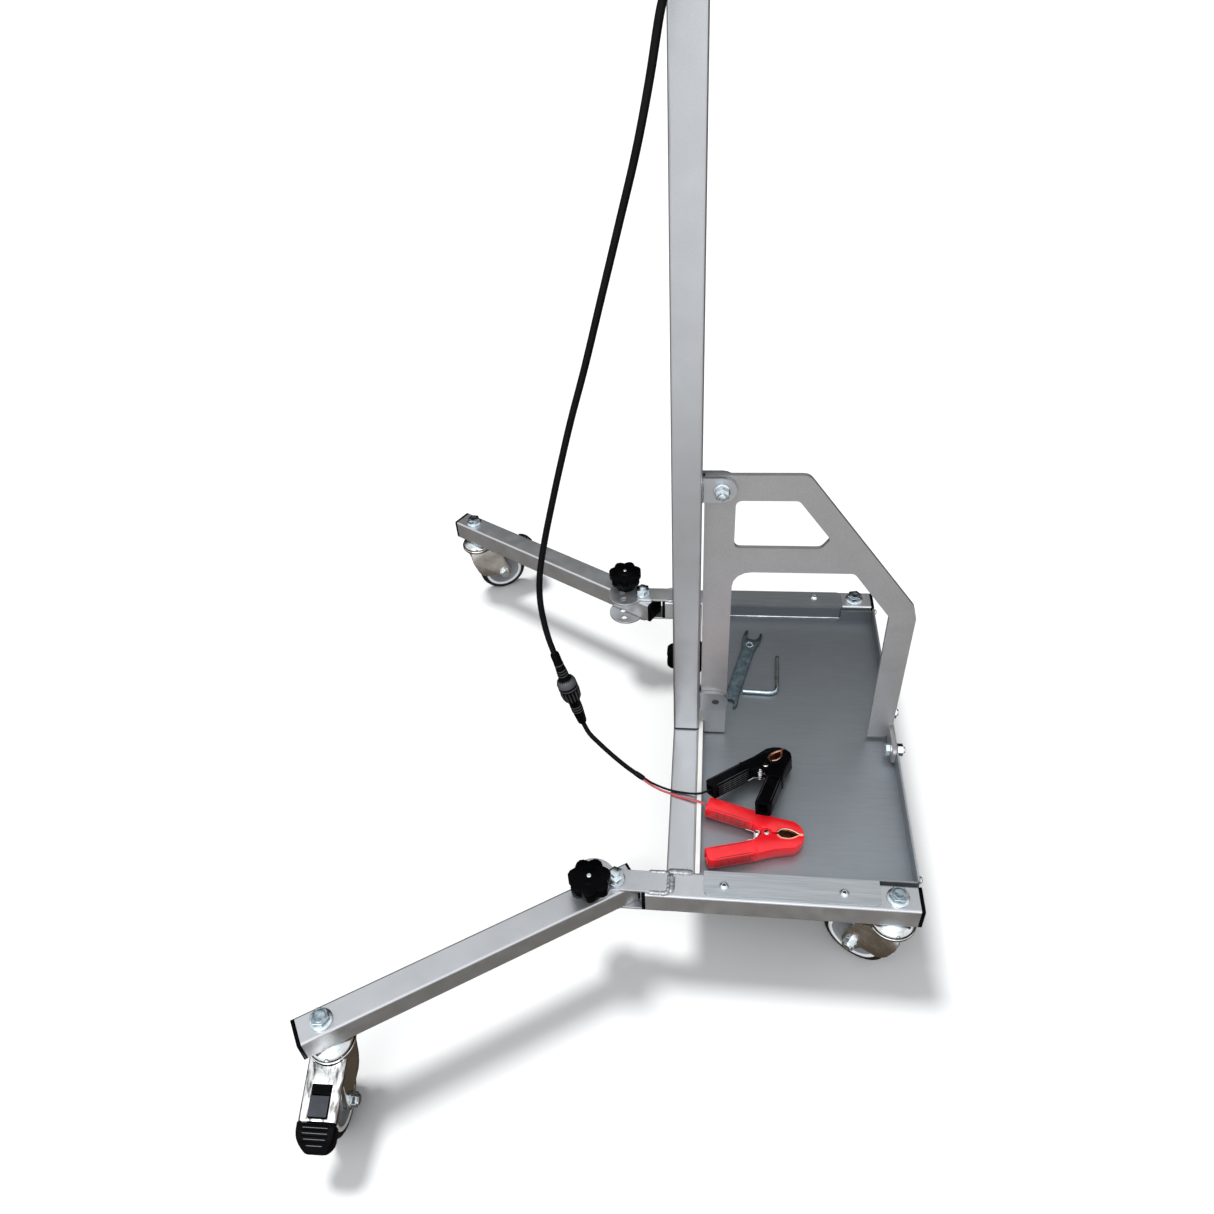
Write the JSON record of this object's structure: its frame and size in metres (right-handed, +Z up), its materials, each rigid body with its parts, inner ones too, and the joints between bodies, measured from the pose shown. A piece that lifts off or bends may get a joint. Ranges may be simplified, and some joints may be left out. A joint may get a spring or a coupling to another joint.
{
  "type": "rolling folding stand base",
  "caption": "Rolling folding stand base with square mast, braced tray, splayed legs on braked casters, battery clamp lead and loose tools.",
  "frame": {"origin": "on the floor under the middle of the whole footprint", "axes": "+Z up along the mast; +X along the side tubes from the splayed legs towards the tray; +Y across from the near side tube to the far one"},
  "size_m": [0.627, 0.9486, 1.015],
  "materials": {
    "powder_coat": "satin grey powder coat",
    "zinc": "bright zinc plate",
    "chrome": "polished",
    "tray_sheet": "brushed",
    "tool_steel": "satin, dark",
    "edging": "matte",
    "black_plastic": "semi-gloss",
    "red_plastic": "semi-gloss",
    "black_cord": "satin",
    "red_cord": "satin",
    "hub": "matte",
    "tyre": "matte rubber"
  },
  "bodies": {
    "base": {"near_side_tube": "powder_coat", "near_front_plug": "black_plastic", "near_rear_plug": "black_plastic", "near_hinge_top": "powder_coat", "near_hinge_bottom": "powder_coat", "near_pivot_bolt": "zinc", "far_side_tube": "powder_coat", "far_front_plug": "black_plastic", "far_rear_plug": "black_plastic", "far_hinge_top": "powder_coat", "far_hinge_bottom": "powder_coat", "far_pivot_bolt": "zinc", "near_rear_caster_stem": "zinc", "far_rear_caster_stem": "zinc", "cross_tube": "powder_coat", "tray": "tray_sheet", "tray_edging": "edging", "mast": "powder_coat", "mast_foot_plug": "black_plastic", "brace_plate": "powder_coat", "brace_bolt": "zinc", "wrench": "tool_steel", "hex_key": "chrome", "cable_gland": "black_plastic", "lead_upper": "black_cord", "lead_connector": "black_plastic", "lead_lower": "black_cord", "lead_black_wire": "black_cord", "lead_red_wire": "red_cord", "red_clamp_lead_half": "red_plastic", "black_clamp_lead_half": "black_plastic"},
    "near_leg": {"near_leg_tube": "powder_coat", "near_leg_inner_plug": "black_plastic", "near_leg_outer_plug": "black_plastic", "near_front_caster_stem": "zinc"},
    "near_index": {"near_index_knob": "black_plastic"},
    "far_leg": {"far_leg_tube": "powder_coat", "far_leg_inner_plug": "black_plastic", "far_leg_outer_plug": "black_plastic", "far_front_caster_stem": "zinc"},
    "far_index": {"far_index_knob": "black_plastic"},
    "near_front_fork": {"near_front_caster_fork": "zinc"},
    "near_front_wheel": {"near_front_caster_hub": "hub", "near_front_caster_tyre": "tyre"},
    "near_front_brake": {"near_front_caster_brake_cover": "chrome", "near_front_caster_brake_pedal": "black_plastic"},
    "far_front_fork": {"far_front_caster_fork": "zinc"},
    "far_front_wheel": {"far_front_caster_hub": "hub", "far_front_caster_tyre": "tyre"},
    "far_front_brake": {"far_front_caster_brake_cover": "chrome", "far_front_caster_brake_pedal": "black_plastic"},
    "near_rear_fork": {"near_rear_caster_fork": "zinc"},
    "near_rear_wheel": {"near_rear_caster_hub": "hub", "near_rear_caster_tyre": "tyre"},
    "far_rear_fork": {"far_rear_caster_fork": "zinc"},
    "far_rear_wheel": {"far_rear_caster_hub": "hub", "far_rear_caster_tyre": "tyre"},
    "mast_clamp_knob": {"mast_knob": "black_plastic"},
    "red_clamp_jaw": {"red_clamp_free_half": "red_plastic"},
    "black_clamp_jaw": {"black_clamp_free_half": "black_plastic"}
  },
  "joints": [
    {"name": "near_leg_fold", "type": "hinge", "parent": "base", "child": "near_leg", "pos_m": [-0.00302, -0.20618, 0.125], "axis": [0, 0, 1], "range_deg": [-56, 0]},
    {"name": "near_index_knob_turn", "type": "hinge", "parent": "base", "child": "near_index", "pos_m": [-0.02838, -0.22221, 0.15], "axis": [0, 0, 1], "range_deg": [-180, 180]},
    {"name": "far_leg_fold", "type": "hinge", "parent": "base", "child": "far_leg", "pos_m": [-0.00302, 0.25462, 0.125], "axis": [0, 0, 1], "range_deg": [0, 56]},
    {"name": "far_index_knob_turn", "type": "hinge", "parent": "base", "child": "far_index", "pos_m": [-0.02879, 0.26998, 0.15], "axis": [0, 0, 1], "range_deg": [-180, 180]},
    {"name": "near_front_swivel", "type": "hinge", "parent": "near_leg", "child": "near_front_fork", "pos_m": [-0.27731, -0.37958, 0.098], "axis": [0, 0, 1], "continuous": true},
    {"name": "near_front_wheel_roll", "type": "hinge", "parent": "near_front_fork", "child": "near_front_wheel", "pos_m": [-0.27614, -0.41306, 0.0375], "axis": [0.9994, 0.0349, 0], "continuous": true},
    {"name": "near_front_brake_press", "type": "hinge", "parent": "near_front_fork", "child": "near_front_brake", "pos_m": [-0.27668, -0.39757, 0.09], "axis": [0.9994, 0.0349, 0], "range_deg": [0, 6]},
    {"name": "far_front_swivel", "type": "hinge", "parent": "far_leg", "child": "far_front_fork", "pos_m": [-0.28175, 0.42078, 0.098], "axis": [0, 0, 1], "continuous": true},
    {"name": "far_front_wheel_roll", "type": "hinge", "parent": "far_front_fork", "child": "far_front_wheel", "pos_m": [-0.25164, 0.43546, 0.0375], "axis": [-0.4384, 0.8988, 0], "continuous": true},
    {"name": "far_front_brake_press", "type": "hinge", "parent": "far_front_fork", "child": "far_front_brake", "pos_m": [-0.26557, 0.42867, 0.09], "axis": [-0.4384, 0.8988, 0], "range_deg": [0, 6]},
    {"name": "near_rear_swivel", "type": "hinge", "parent": "base", "child": "near_rear_fork", "pos_m": [0.28798, -0.20618, 0.098], "axis": [0, 0, 1], "continuous": true},
    {"name": "near_rear_wheel_roll", "type": "hinge", "parent": "near_rear_fork", "child": "near_rear_wheel", "pos_m": [0.25979, -0.18808, 0.0375], "axis": [-0.5402, -0.8415, 0], "continuous": true},
    {"name": "far_rear_swivel", "type": "hinge", "parent": "base", "child": "far_rear_fork", "pos_m": [0.28798, 0.25462, 0.098], "axis": [0, 0, 1], "continuous": true},
    {"name": "far_rear_wheel_roll", "type": "hinge", "parent": "far_rear_fork", "child": "far_rear_wheel", "pos_m": [0.2565, 0.26608, 0.0375], "axis": [-0.342, -0.9397, 0], "continuous": true},
    {"name": "mast_knob_turn", "type": "hinge", "parent": "base", "child": "mast_clamp_knob", "pos_m": [0.06498, 0.04922, 0.222], "axis": [0, 1, 0], "range_deg": [-180, 180]},
    {"name": "red_clamp_open", "type": "hinge", "parent": "base", "child": "red_clamp_jaw", "pos_m": [0.15732, -0.13328, 0.13051], "axis": [-0.0384, 0, -0.9993], "range_deg": [0, 14], "stiffness_Nm_per_rad": 0.6},
    {"name": "black_clamp_open", "type": "hinge", "parent": "base", "child": "black_clamp_jaw", "pos_m": [0.15907, -0.05022, 0.14112], "axis": [0.0766, -0.2954, -0.9523], "range_deg": [0, 14], "stiffness_Nm_per_rad": 0.6}
  ]
}
